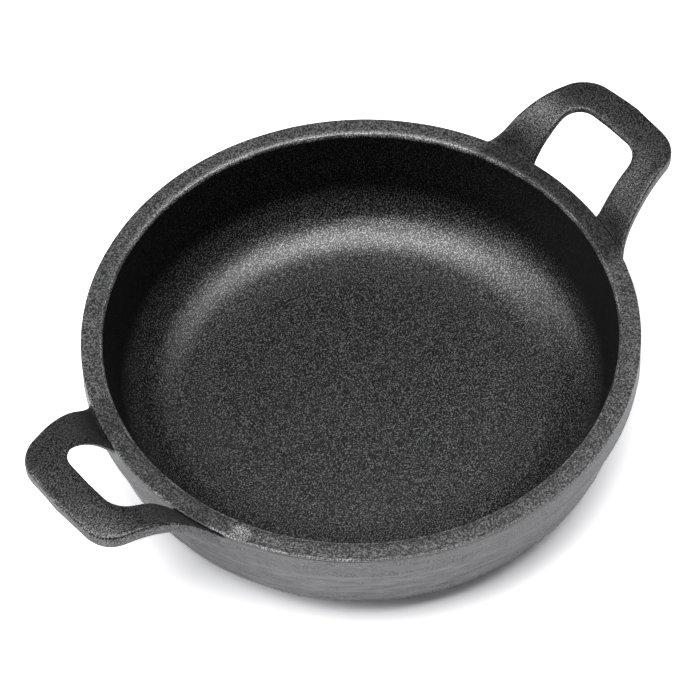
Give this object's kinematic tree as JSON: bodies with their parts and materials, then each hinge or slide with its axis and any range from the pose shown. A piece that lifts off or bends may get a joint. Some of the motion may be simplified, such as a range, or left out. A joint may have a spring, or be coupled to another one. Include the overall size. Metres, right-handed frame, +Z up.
{
  "type": "cast iron baking dish",
  "caption": "Round cast iron baking dish with a thick rim band, a tapered wall rounding into a flat base, and raised loop handles on opposite sides.",
  "frame": {"origin": "centre of the base's underside, on the surface that the dish stands on", "axes": "+X towards the right handle in the picture, along both handles; +Z up out of the dish; +Y completes a right-handed frame"},
  "size_m": [0.2152, 0.16, 0.0527],
  "materials": {
    "seasoned_iron": "sand-cast, seasoned matt black with a fine grain"
  },
  "bodies": {
    "root": {"dish_bowl": "seasoned_iron", "left_handle": "seasoned_iron", "right_handle": "seasoned_iron"}
  },
  "joints": []
}
